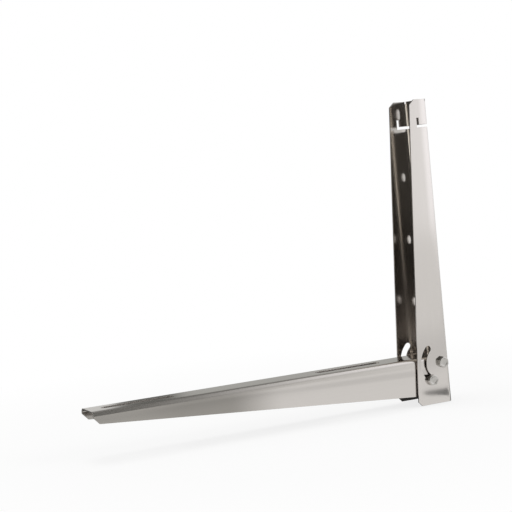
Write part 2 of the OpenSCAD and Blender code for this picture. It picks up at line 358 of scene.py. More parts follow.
def turned_finish(name, settings, centre):
    """Fastener steel: rings turned about the bolt's axis and a fine grain."""
    material, tree, shader = new_material(name)
    shader.inputs["Metallic"].default_value = 1
    place = node(tree, "ShaderNodeTexCoord").outputs["Object"]
    about = node(tree, "ShaderNodeMapping", {
        "Vector": place, "Location": (-centre[0], 0, -centre[1])}).outputs[0]
    parts = node(tree, "ShaderNodeSeparateXYZ", {0: about}).outputs
    radius = op(tree, "SQRT", op(
        tree, "ADD", op(tree, "POWER", parts["X"], 2), op(tree, "POWER", parts["Z"], 2)))
    ring_place = node(tree, "ShaderNodeCombineXYZ", {
        0: op(tree, "MULTIPLY", radius, 9000), 1: op(tree, "MULTIPLY", parts["Y"], 2500)})
    rings = node(tree, "ShaderNodeTexNoise", {
        "Vector": ring_place.outputs[0], "Scale": 1.0, "Detail": 2.0}).outputs["Fac"]
    grain = noise(tree, place, (1400, 1400, 1400), 4.0)
    colour = mix_colour(
        tree, remap(tree, grain, 0.3, 0.7, 0.0, 1.0), toned(settings.steel, 0.9), list(settings.steel))
    tree.links.new(colour, shader.inputs["Base Color"])
    rough = remap(tree, rings, 0.3, 0.7, settings.roughness * 0.7, settings.roughness * 1.2)
    rough = op(tree, "ADD", rough, op(tree, "MULTIPLY", grain, 0.08))
    tree.links.new(rough, shader.inputs["Roughness"])
    bump = node(tree, "ShaderNodeBump", {
        "Height": op(tree, "ADD", rings, grain), "Strength": 0.4, "Distance": 0.000006})
    tree.links.new(bump.outputs[0], shader.inputs["Normal"])
    return material


class Fold:
    """Carries a point of the flat blank, u across and v along, onto a folded channel's sheet."""

    def __init__(self, width, radius, splay, carry):
        self.flat = width / 2 - radius
        self.radius = radius
        self.turn = math.pi / 2 - splay
        self.carry = carry

    def across(self, depth):
        """Distance across the blank at which the outer face lies this far from the channel's back."""
        bend_depth = self.radius * (1 - math.cos(self.turn))
        if depth <= bend_depth:
            return self.flat + self.radius * math.acos(1 - depth / self.radius)
        return self.flat + self.radius * self.turn + (depth - bend_depth) / math.sin(self.turn)

    def bend_lines(self):
        """Lines across the blank at which the bends are faceted."""
        steps = [self.flat + self.radius * self.turn * i / BEND_STEPS for i in range(BEND_STEPS + 1)]
        return steps + [-u for u in steps]

    def point(self, u, v, depth):
        """Place of a blank point below the outer face, with the outward and the crosswise directions."""
        side = math.copysign(1, u)
        run = abs(u)
        angle = min(max((run - self.flat) / self.radius, 0), self.turn)
        rest = max(run - self.flat - self.radius * self.turn, 0)
        sin, cos = math.sin(angle), math.cos(angle)
        x = self.radius * (1 - cos) + rest * sin
        y = min(run, self.flat) + self.radius * sin + rest * cos
        out = Vector((-cos, side * sin, 0))
        over = Vector((side * sin, cos, 0))
        spot = Vector((x, side * y, v)) - out * depth
        ways = (out, over, Vector((0, 0, 1)))
        return (self.carry(spot, 1), *(self.carry(way, 0) for way in ways))


def arc(centre, radius, start, end, segments=None):
    """Points on an arc from one angle to another, in degrees, both ends included."""
    count = segments or max(2, round(abs(end - start) / 360 * CIRCLE_STEPS))
    return [(centre[0] + radius * math.cos(math.radians(start + (end - start) * i / count)),
             centre[1] + radius * math.sin(math.radians(start + (end - start) * i / count)))
            for i in range(count + 1)]


def circle(centre, radius):
    return arc(centre, radius, 0, 360)[:-1]


def slot(centre, length, width):
    """Slot along v with round ends."""
    reach = (length - width) / 2
    return (arc((centre[0], centre[1] + reach), width / 2, 0, 180)
            + arc((centre[0], centre[1] - reach), width / 2, 180, 360))


def facing(loop, counter_clockwise):
    """The loop without doubled points, in the given direction."""
    loop = [p for p, q in zip(loop, loop[1:] + loop[:1]) if (Vector(p) - Vector(q)).length > 1e-4]
    turn = sum(a[0] * b[1] - b[0] * a[1] for a, b in zip(loop, loop[1:] + loop[:1]))
    return loop if (turn > 0) == counter_clockwise else loop[::-1]


def split_at(loop, lines):
    """The loop with a point added wherever an edge crosses a bend line."""
    points = []
    for a, b in zip(loop, loop[1:] + loop[:1]):
        points.append((a, None))
        crossed = [line for line in lines if (a[0] - line) * (b[0] - line) < 0]
        for line in sorted(crossed, key=lambda u: abs(u - a[0])):
            share = (line - a[0]) / (b[0] - a[0])
            points.append(((line, a[1] + share * (b[1] - a[1])), line))
    return points


def inset_ways(points):
    """Direction from each loop point into the sheet, stretched so that both edges move by one."""
    ways = []
    for i, p in enumerate(points):
        before = (Vector(p) - Vector(points[i - 1])).normalized()
        after = (Vector(points[(i + 1) % len(points)]) - Vector(p)).normalized()
        normal = Vector((-before.y - after.y, before.x + after.x)).normalized()
        ways.append(normal / max(normal.dot(Vector((-after.y, after.x))), 0.5))
    return ways


def inside(spot, loops):
    """Whether a point of the blank lies in the sheet, within its outline and outside its holes."""
    odd = False
    for loop in loops:
        for a, b in zip(loop, loop[1:] + loop[:1]):
            if (a[1] > spot[1]) != (b[1] > spot[1]):
                if spot[0] < a[0] + (spot[1] - a[1]) * (b[0] - a[0]) / (b[1] - a[1]):
                    odd = not odd
    return odd


def edge_profile(thickness, edge):
    """Steps from the outer face round the cut edge to the inner face: inset, depth and lean."""
    turns = [math.radians(90 * i / EDGE_STEPS) for i in range(EDGE_STEPS + 1)]
    outer = [(edge * (1 - math.sin(a)), edge * (1 - math.cos(a)), math.cos(a)) for a in turns]
    inner = [(inset, thickness - depth, -lean) for inset, depth, lean in reversed(outer)]
    return outer + inner


def folded_sheet(name, fold, loops, sheet, materials):
    """A folded sheet with rounded cut edges, made from the loops of its flat blank."""
    thickness, edge, band = sheet.thickness, sheet.edge_round, sheet.edge_band
    lines = fold.bend_lines()
    loops = [facing(loop, i == 0) for i, loop in enumerate(loops)]
    split = [split_at(loop, lines) for loop in loops]
    profile = edge_profile(thickness, edge)
    rings = [(edge + band, 0, 1)] + profile + [(edge + band, thickness, -1)]

    places, normals, blank, worn, strip = [], [], [], [], []

    def add(u, v, depth, lean, way, amount, along):
        spot, out, over, length = fold.point(u, v, depth)
        places.append(spot)
        normals.append((out * lean + (over * -way[0] + length * -way[1])
                        * math.sqrt(max(1 - lean * lean, 0))).normalized())
        blank.append((u * MM, v * MM))
        worn.append(amount)
        strip.append((along * MM, depth * MM))
        return len(places) - 1

    faces, cut_faces = [], []
    skin_points, skin_edges, skin_ids, crossings = [], [], [], {}
    for marked in split:
        points = [p for p, _ in marked]
        ways = inset_ways(points)
        along, ids = 0.0, []
        for i, p in enumerate(points):
            if i:
                along += (Vector(p) - Vector(points[i - 1])).length
            way = ways[i]
            unit = way.normalized()
            ids.append([add(p[0] + way.x * inset, p[1] + way.y * inset, depth, lean, unit,
                            0.0 if k in (0, len(rings) - 1) else 1.0, along)
                        for k, (inset, depth, lean) in enumerate(rings)])
        start = len(skin_points)
        for i, p in enumerate(points):
            far = ids[(i + 1) % len(points)]
            for k in range(len(rings) - 1):
                quad = (ids[i][k], far[k], far[k + 1], ids[i][k + 1])
                (cut_faces if EDGE_STEPS <= k <= len(rings) - 2 - EDGE_STEPS else faces).append(quad)
            way = ways[i] * (edge + band)
            skin_points.append(Vector((p[0] + way.x, p[1] + way.y)))
            skin_edges.append((start + i, start + (i + 1) % len(points)))
            skin_ids.append((ids[i][0], ids[i][-1]))
            if marked[i][1] is not None:
                crossings.setdefault(marked[i][1], []).append((skin_points[-1].y, start + i))
    for line in crossings.values():
        line.sort()
        skin_edges += [(line[i][1], line[i + 1][1]) for i in range(0, len(line) - 1, 2)]

    verts, _, triangles, origins, _, _ = delaunay_2d_cdt(skin_points, skin_edges, [], 0, 1e-5)
    made = []
    for vert, origin in zip(verts, origins):
        if origin:
            made.append(skin_ids[origin[0]])
        else:
            made.append(tuple(add(vert.x, vert.y, depth, lean, (0, 0), 0.0, 0.0)
                              for depth, lean in ((0, 1), (thickness, -1))))
    skin_loops, start = [], 0
    for marked in split:
        skin_loops.append([tuple(p) for p in skin_points[start:start + len(marked)]])
        start += len(marked)
    for triangle in triangles:
        middle = sum((verts[i] for i in triangle), Vector((0, 0))) / 3
        if inside(middle, skin_loops):
            faces.append(tuple(made[i][0] for i in reversed(triangle)))
            faces.append(tuple(made[i][1] for i in triangle))

    mesh = bpy.data.meshes.new(name)
    mesh.from_pydata([p * MM for p in places], [], faces + cut_faces)
    for material in materials:
        mesh.materials.append(material)
    for polygon in mesh.polygons:
        polygon.use_smooth = True
        polygon.material_index = 1 if polygon.index >= len(faces) else 0
    for label, values in (("blank", blank), ("strip", strip)):
        layer = mesh.uv_layers.new(name=label)
        for loop in mesh.loops:
            layer.data[loop.index].uv = values[loop.vertex_index]
    mesh.attributes.new("edge", "FLOAT", "POINT").data.foreach_set("value", worn)
    mesh.normals_split_custom_set_from_vertices(normals)
    piece = bpy.data.objects.new(name, mesh)
    bpy.context.scene.collection.objects.link(piece)
    return piece


def hex_angles():
    """Angles round a hexagon, closer together at its corners."""
    steps = (-30, -29, -27, -22, -12, 0, 12, 22, 27, 29)
    return [math.radians(60 * side + step) for side in range(6) for step in steps]


def hex_radius(angle, flats):
    """Distance to a hexagon's side, with its corners rubbed round."""
    turned = math.degrees(angle) % 60
    off = min(turned, 60 - turned)
    corner = flats / 2 / math.cos(math.radians(30))
    return min(flats / 2 / math.cos(math.radians(off)), corner * 0.985 - 0.004 * max(off - 28, 0) ** 2)


def chamfer_rows(base, way, settings):
    """Heights and radii of a hexagon's end, from its full corners to the flat face."""
    ring = 0.955 * settings.flats / 2
    drop = (settings.flats / 2 / math.cos(math.radians(30)) - ring) * math.tan(math.radians(30))
    steps = [(1 - i / 5) * drop for i in range(6)]
    rows = [(base - way * step, ring + step / math.tan(math.radians(30))) for step in steps]
    return rows + [(base + way * 0.03, ring - 0.12)]


def polar_body(name, rows, settings, closed=False):
    """A body turned about z, from rows of a height, a radius and whether it is cut to a hexagon."""
    bm = bmesh.new()
    angles = hex_angles()
    rings = []
    for height, limit, is_hex in rows:
        reach = [min(limit, hex_radius(a, settings.flats)) if is_hex else limit for a in angles]
        rings.append([
            bm.verts.new((r * math.cos(a), r * math.sin(a), height)) for r, a in zip(reach, angles)])
    pairs = list(zip(rings, rings[1:] + rings[:1]))
    for low, high in pairs if closed else pairs[:-1]:
        for i in range(len(angles)):
            j = (i + 1) % len(angles)
            bm.faces.new((low[i], low[j], high[j], high[i]))
    if not closed:
        bm.faces.new(rings[0])
        bm.faces.new(rings[-1])
    bmesh.ops.recalc_face_normals(bm, faces=bm.faces)
    for face in bm.faces:
        face.smooth = True
    mesh = bpy.data.meshes.new(name)
    bm.to_mesh(mesh)
    bm.free()
    mesh.set_sharp_from_angle(angle=CREASE)
    return mesh


def new_tree(name, inputs):
    """An empty geometry tree with named number inputs and a material input."""
    tree = bpy.data.node_groups.new(name, "GeometryNodeTree")
    tree.interface.new_socket("Geometry", in_out="OUTPUT", socket_type="NodeSocketGeometry")
    for label, value in inputs.items():
        socket = tree.interface.new_socket(label, in_out="INPUT", socket_type="NodeSocketFloat")
        socket.default_value = value
    tree.interface.new_socket("Finish", in_out="INPUT", socket_type="NodeSocketMaterial")
    return tree, tree.nodes.new("NodeGroupInput").outputs


def end_tree(tree, geometry, finish):
    """Ends a tree with real geometry in one material."""
    real = node(tree, "GeometryNodeRealizeInstances", {0: geometry})
    dressed = node(tree, "GeometryNodeSetMaterial", {0: real.outputs[0], "Material": finish})
    tree.links.new(dressed.outputs[0], tree.nodes.new("NodeGroupOutput").inputs[0])


def grow(name, tree, values):
    """The plain mesh that a geometry tree makes with these values."""
    carrier = bpy.data.objects.new(name, bpy.data.meshes.new(name))
    bpy.context.scene.collection.objects.link(carrier)
    modifier = carrier.modifiers.new("shape", "NODES")
    modifier.node_group = tree
    for item in tree.interface.items_tree:
        if item.in_out == "INPUT" and item.name in values:
            modifier[item.identifier] = values[item.name]
    depsgraph = bpy.context.evaluated_depsgraph_get()
    mesh = bpy.data.meshes.new_from_object(carrier.evaluated_get(depsgraph), depsgraph=depsgraph)
    bpy.data.objects.remove(carrier)
    mesh.name = name
    return mesh


def thread_tree(settings):
    """Threaded end of a bolt: a grid rolled up, its radius following the helix."""
    tree, given = new_tree("bolt_thread", {
        "Diameter": settings.bolt, "Pitch": settings.thread_pitch,
        "Depth": settings.thread_depth, "Length": settings.thread_length, "Chamfer": 0.7})
    rows = int(settings.thread_length / settings.thread_pitch * 10) + 1
    grid = node(tree, "GeometryNodeMeshGrid", {
        "Size X": 1.0, "Size Y": 1.0, "Vertices X": rows, "Vertices Y": 49})
    place = node(tree, "GeometryNodeInputPosition").outputs[0]
    spot = node(tree, "ShaderNodeSeparateXYZ", {0: place}).outputs
    height = op(tree, "MULTIPLY", op(tree, "ADD", spot["X"], 0.5), given["Length"])
    turn = op(tree, "ADD", spot["Y"], 0.5)
    angle = op(tree, "MULTIPLY", turn, math.tau)
    phase = op(tree, "FRACT", op(tree, "ADD", op(tree, "DIVIDE", height, given["Pitch"]), turn))
    crest = op(tree, "ABSOLUTE", op(tree, "SUBTRACT", op(tree, "MULTIPLY", phase, 2.0), 1.0))
    groove = node(tree, "ShaderNodeMapRange", {
        "Value": crest, "From Min": 0.12, "From Max": 0.82}, interpolation_type="SMOOTHSTEP").outputs[0]
    runout = node(tree, "ShaderNodeMapRange", {
        "Value": op(tree, "SUBTRACT", given["Length"], height), "From Min": 0.0,
        "From Max": 2.0}).outputs[0]
    cut = op(tree, "MULTIPLY", op(tree, "MULTIPLY", groove, runout), given["Depth"])
    outer = op(tree, "MULTIPLY", given["Diameter"], 0.5)
    tip = op(tree, "ADD", op(tree, "SUBTRACT", outer, given["Chamfer"]), height)
    radius = op(tree, "MINIMUM", op(tree, "SUBTRACT", outer, cut), tip)
    rolled = node(tree, "ShaderNodeCombineXYZ", {
        0: op(tree, "MULTIPLY", radius, op(tree, "COSINE", angle)),
        1: op(tree, "MULTIPLY", radius, op(tree, "SINE", angle)), 2: height})
    shank = node(tree, "GeometryNodeSetPosition", {
        "Geometry": grid.outputs["Mesh"], "Position": rolled.outputs[0]})
    caps = []
    for lift, size in ((0.0, op(tree, "SUBTRACT", outer, given["Chamfer"])), (given["Length"], outer)):
        cap = node(tree, "GeometryNodeMeshCircle", {"Vertices": 48, "Radius": size}, fill_type="NGON")
        raised = node(tree, "ShaderNodeCombineXYZ", {2: lift})
        caps.append(node(tree, "GeometryNodeTransform", {
            "Geometry": cap.outputs[0], "Translation": raised.outputs[0]}).outputs[0])
    joined = node(tree, "GeometryNodeJoinGeometry")
    for part in (shank.outputs[0], *caps):
        tree.links.new(part, joined.inputs[0])
    merged = node(tree, "GeometryNodeMergeByDistance", {
        "Geometry": joined.outputs[0], "Distance": 0.002})
    end_tree(tree, merged.outputs[0], given["Finish"])
    return tree


def ring_tree(name, settings, is_split):
    """A washer swept round its hole, with rounded edges, and with a slanted split where it has one."""
    tree, given = new_tree(name, {
        "Inner": settings.bore, "Outer": 16.0, "Thickness": 1.6, "Edge": settings.edge,
        "Split": settings.split, "Slant": 0.466})
    middle = op(tree, "MULTIPLY", op(tree, "ADD", given["Inner"], given["Outer"]), 0.25)
    if is_split:
        gap = op(tree, "DIVIDE", given["Split"], middle)
        path = node(tree, "GeometryNodeCurveArc", {
            "Resolution": RING_STEPS, "Radius": middle, "Start Angle": op(tree, "MULTIPLY", gap, 0.5),
            "Sweep Angle": op(tree, "SUBTRACT", math.tau, gap)})
    else:
        path = node(tree, "GeometryNodeCurvePrimitiveCircle", {"Resolution": RING_STEPS, "Radius": middle})
    section = node(tree, "GeometryNodeCurvePrimitiveQuadrilateral", {
        "Width": op(tree, "MULTIPLY", op(tree, "SUBTRACT", given["Outer"], given["Inner"]), 0.5),
        "Height": given["Thickness"]})
    rounded = node(tree, "GeometryNodeFilletCurve", {
        "Curve": section.outputs[0], "Radius": given["Edge"], "Limit Radius": True, "Count": 3}, mode="POLY")
    swept = node(tree, "GeometryNodeCurveToMesh", {
        "Curve": path.outputs[0], "Profile Curve": rounded.outputs[0], "Fill Caps": True}).outputs[0]
    if is_split:
        place = node(tree, "GeometryNodeInputPosition").outputs[0]
        height = node(tree, "ShaderNodeSeparateXYZ", {0: place}).outputs["Z"]
        lean = op(tree, "DIVIDE", op(tree, "MULTIPLY", height, given["Slant"]), middle)
        turned = node(tree, "ShaderNodeVectorRotate", {
            "Vector": place, "Angle": lean}, rotation_type="Z_AXIS")
        swept = node(tree, "GeometryNodeSetPosition", {
            "Geometry": swept, "Position": turned.outputs[0]}).outputs[0]
    end_tree(tree, swept, given["Finish"])
    return tree


def join_meshes(name, meshes):
    """One mesh of several."""
    bm = bmesh.new()
    for mesh in meshes:
        bm.from_mesh(mesh)
    joined = bpy.data.meshes.new(name)
    bm.to_mesh(joined)
    bm.free()
    return joined


def seat(node_name, mesh, material, lift, turn=0.0):
    """Puts a mesh that was made about z, in millimetres, in the place of a CAD piece."""
    low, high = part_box(node_name)
    axis = FASTENER_AXES[node_name.split("_")[0]]
    mesh.transform(Matrix.Rotation(turn, 4, "Z"))
    mesh.transform(Matrix.Translation((axis[0], low.y + lift * MM, axis[1])) @ Matrix((
        (MM, 0, 0, 0), (0, 0, MM, 0), (0, -MM, 0, 0), (0, 0, 0, 1))))
    mesh.materials.clear()
    mesh.materials.append(material)
    for polygon in mesh.polygons:
        polygon.use_smooth = True
        polygon.material_index = 0
    mesh.set_sharp_from_angle(angle=CREASE)
    piece = bpy.data.objects.new(node_name + "_turned", mesh)
    bpy.context.scene.collection.objects.link(piece)
    weigh = piece.modifiers.new("normals", "WEIGHTED_NORMAL")
    weigh.keep_sharp = True
    depsgraph = bpy.context.evaluated_depsgraph_get()
    piece.data = bpy.data.meshes.new_from_object(piece.evaluated_get(depsgraph), depsgraph=depsgraph)
    piece.modifiers.clear()
    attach(piece, frame["nodes"][node_name]["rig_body"])
    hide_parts(node_name)


def axis_of(node_name):
    """Place of a round CAD piece's axis, along X and up."""
    low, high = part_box(node_name)
    return ((low.x + high.x) / 2, (low.z + high.z) / 2)


FASTENER_AXES = {"pivot": axis_of("pivot_washer"), "guide": axis_of("guide_washer")}
FINISHES = {}


def fastener_finish(group, settings):
    """The finish of one bolt's set, made once."""
    if group not in FINISHES:
        FINISHES[group] = turned_finish(group + "_steel", settings, FASTENER_AXES[group])
    return FINISHES[group]


def dress_sheet(node_name, body, fold, loops, sheet):
    """Makes a folded sheet with its finishes, in the place of its CAD piece."""
    materials = [sheet_finish(node_name + "_polished", sheet, fold),
                 cut_finish(node_name + "_cut_edge", sheet)]
    piece = folded_sheet(node_name + "_sheet", fold, loops, sheet, materials)
    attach(piece, body)
    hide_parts(node_name)


def on_flanges(fold, points):
    """The same outline on both flanges, given as depth and place along the channel."""
    return [[(side * fold.across(depth), along) for depth, along in points] for side in (1, -1)]


class BRACKET_OT_upright(bpy.types.Operator):
    """Makes the upright from its flat blank, folded into a channel"""
    bl_idname = "bracket.upright"
    bl_label = "Upright"

    def execute(self, context):
        scene = context.scene
        size, pin = scene.bracket_upright, scene.bracket_fold
        fold = Fold(size.width, size.bend, size.splay, lambda vector, is_point: Vector(vector))
        loops = [self.outline(size, fold), self.slit(size, fold)]
        for i in range(WALL_HOLES):
            loops.append(circle((0, size.first_hole + i * size.pitch), size.hole / 2))
        loops.append(slot((0, size.top - size.top_slot_down), size.top_slot, size.hole))
        loops += on_flanges(fold, circle((pin.pivot_out, 0), pin.hole / 2))
        loops += on_flanges(fold, self.guide_slot(pin))
        dress_sheet("upright", "upright_body", fold, loops, scene.bracket_sheet)
        return {"FINISHED"}

    def outline(self, size, fold):
        lean = (size.foot_depth - size.top_depth) / (size.top - size.foot)
        bend_middle = fold.flat + fold.radius * math.pi / 4
        half = fold.radius * math.asin(size.notch_width / 2 / fold.radius)
        side = [
            (fold.across(size.foot_depth - size.foot_corner), size.foot),
            (fold.across(size.foot_depth - lean * size.foot_corner), size.foot + size.foot_corner),
            (fold.across(size.top_depth + lean * size.top_corner), size.top - size.top_corner),
            (fold.across(size.top_depth - size.top_corner), size.top),
            (bend_middle + half, size.top),
            (bend_middle + half, size.top - size.notch_depth),
            (bend_middle - half, size.top - size.notch_depth),
            (bend_middle - half, size.top)]
        return side + [(-u, v) for u, v in reversed(side)]

    def slit(self, size, fold):
        low = size.top - size.slit_down
        wide, deep = size.rail_slot / 2, size.rail_slot_height / 2
        far, near = fold.across(size.slit_reach), fold.across(size.slit_reach - size.slit)
        side = (arc((wide - deep, low), deep, 270, 360)
                + [(far, low), (far, low + size.slit_leg), (near, low + size.slit_leg),
                   (near, low + size.slit)])
        return side + [(-u, v) for u, v in reversed(side)]

    def guide_slot(self, pin):
        centre, half = (pin.pivot_out, 0), pin.slot / 2
        low, high = -math.degrees(pin.drop), math.degrees(pin.turn - pin.drop)
        ends = arc(centre, pin.guide, low, high, 1)
        return (arc(centre, pin.guide + half, low, high) + arc(ends[1], half, high, high + 180)
                + arc(centre, pin.guide - half, high, low) + arc(ends[0], half, low + 180, low + 360))


class BRACKET_OT_arm(bpy.types.Operator):
    """Makes the arm from its flat blank, folded into a channel"""
    bl_idname = "bracket.arm"
    bl_label = "Arm"

    def execute(self, context):
        scene = context.scene
        size, pin = scene.bracket_arm, scene.bracket_fold

        def carry(vector, is_point):
            return Vector((vector.z, vector.y, size.top * is_point - vector.x))

        fold = Fold(size.width, size.bend, 0, carry)
        loops = [self.outline(size, pin, fold)]
        for middle in (size.inner_slot, size.reach - size.outer_slot):
            loops.append(slot((0, middle), size.slot_length, size.slot_width))
        guide = (pin.pivot_out + pin.guide * math.cos(pin.drop), -pin.guide * math.sin(pin.drop))
        for x, z in ((pin.pivot_out, 0), guide):
            loops += on_flanges(fold, circle((size.top - z, x), pin.hole / 2))
        dress_sheet("arm", "arm_body", fold, loops, scene.bracket_sheet)
        return {"FINISHED"}

    def outline(self, size, pin, fold):
        rise = (size.root_depth - size.tip_depth) / (size.reach - size.root)
        start = math.degrees(math.acos((size.plate_start - pin.pivot_out) / size.ear))
        side = [(size.top - z, x) for x, z in arc((pin.pivot_out, 0), size.ear, start, 180)]
        side += [
            (size.root_depth - size.root_corner, size.root),
            (size.root_depth - rise * size.root_corner, size.root + size.root_corner),
            (size.tip_depth + rise * size.tip_corner, size.reach - size.tip_corner),
            (size.tip_depth - size.tip_corner, size.reach)]
        side = [(fold.across(depth), along) for depth, along in side]
        return side + [(-u, v) for u, v in reversed(side)]


class BRACKET_OT_bolts(bpy.types.Operator):
    """Makes both bolts, each with a chamfered head and a rolled thread"""
    bl_idname = "bracket.bolts"
    bl_label = "Bolts"

    def execute(self, context):
        size = context.scene.bracket_fasteners
        tree = thread_tree(size)
        for name, turn in (("pivot_bolt", 0), ("guide_bolt", 30)):
            low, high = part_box(name)
            total = (high.y - low.y) / MM
            under = total - size.head
            face = 0.93 * size.flats / 2
            rows = [(size.thread_length - 0.5, size.bolt / 2 - 0.01, False),
                    (under - 0.4, size.bolt / 2 - 0.01, False), (under, size.bolt / 2 + 0.3, False),
                    (under, face, False), (under + 0.15, face, False), (under + 0.17, 99, True)]
            rows += [(z, limit, True) for z, limit in chamfer_rows(total - 0.03, 1, size)]
            rows += [(total, face - 0.9, False), (total - 0.06, face - 1.1, False),
                     (total - 0.3, face - 1.5, False), (total - 0.36, 1.0, False)]
            finish = fastener_finish(name.split("_")[0], size)
            thread = grow(name + "_thread", tree, {"Finish": finish})
            mesh = join_meshes(name, [polar_body(name, rows, size), thread])
            seat(name, mesh, finish, 0.0, math.radians(turn))
        return {"FINISHED"}


class BRACKET_OT_nuts(bpy.types.Operator):
    """Makes both nuts, chamfered on both faces"""
    bl_idname = "bracket.nuts"
    bl_label = "Nuts"

    def execute(self, context):
        size = context.scene.bracket_fasteners
        for name, turn in (("pivot_nut", 0), ("guide_nut", 30)):
            low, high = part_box(name)
            tall = (high.y - low.y) / MM
            bore = size.bore / 2
            up = chamfer_rows(tall - 0.03, 1, size)
            down = chamfer_rows(0.03, -1, size)
            rows = [(0.45, bore, False), (0.0, bore + 0.45, False)]
            rows += [(z, limit, True) for z, limit in down[::-1] + up]
            rows += [(tall, bore + 0.45, False), (tall - 0.45, bore, False)]
            mesh = polar_body(name, rows, size, closed=True)
            seat(name, mesh, fastener_finish(name.split("_")[0], size), 0.0, math.radians(turn))
        return {"FINISHED"}


def make_washers(tree, turns, size, axis):
    """Makes a washer for each CAD piece named, as wide as it is along an axis, turned by some degrees."""
    for name, turn in turns.items():
        low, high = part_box(name)
        tall = (high.y - low.y) / MM
        finish = fastener_finish(name.split("_")[0], size)
        mesh = grow(name, tree, {
            "Outer": (high[axis] - low[axis]) / MM, "Thickness": tall, "Finish": finish})
        seat(name, mesh, finish, tall / 2, math.radians(turn))


class BRACKET_OT_washers(bpy.types.Operator):
    """Makes the two flat washers with rounded edges"""
    bl_idname = "bracket.washers"
    bl_label = "Washers"

    def execute(self, context):
        size = context.scene.bracket_fasteners
        turns = {"pivot_washer": 0, "guide_washer": 0}
        make_washers(ring_tree("flat_washer", size, False), turns, size, AXIS_X)
        return {"FINISHED"}


class BRACKET_OT_spring_washers(bpy.types.Operator):
    """Makes the two split spring washers"""
    bl_idname = "bracket.spring_washers"
    bl_label = "Spring washers"

    def execute(self, context):
        size = context.scene.bracket_fasteners
        turns = {"pivot_spring_washer": 30, "guide_spring_washer": 0}
        make_washers(ring_tree("spring_washer", size, True), turns, size, AXIS_Z)
        return {"FINISHED"}


# What the steel mirrors in the studio's front, ceiling and back, by the direction's share along X
FRONT_SHADES = (
    (-0.62, 1.3), (-0.55, 0.95), (-0.5, 0.8), (-0.46, 0.7), (-0.4, 0.68), (-0.36, 0.16), (-0.3, 0.14),
    (0.0, 0.08), (1.0, 0.06))
CEILING_SHADES = (
    (-0.6, 1.2), (-0.48, 1.2), (-0.4, 0.68), (-0.36, 0.2), (-0.3, 0.14), (0.0, 0.08), (1.0, 0.06))
BACK_SHADES = (
    (-0.9, 1.0), (-0.6, 0.6), (-0.5, 0.43), (-0.345, 0.43), (-0.34, 0.15), (-0.305, 0.15), (-0.3, 0.65),
    (-0.24, 0.7), (0.0, 0.1), (1.0, 0.06))
# What the steel mirrors on the floor, by its place along X. The shades spread in a fan from a fixed
# spot, the mirror image of the photograph's viewpoint
FLOOR_SHADES = (
    (-0.9, 0.9), (-0.3, 0.83), (0.26, 0.83), (0.32, 0.42), (0.39, 0.42), (0.45, 0.5), (0.55, 0.5),
    (0.65, 0.06), (1.0, 0.02))
FLOOR_FAN = Vector((0.972, -1.57))


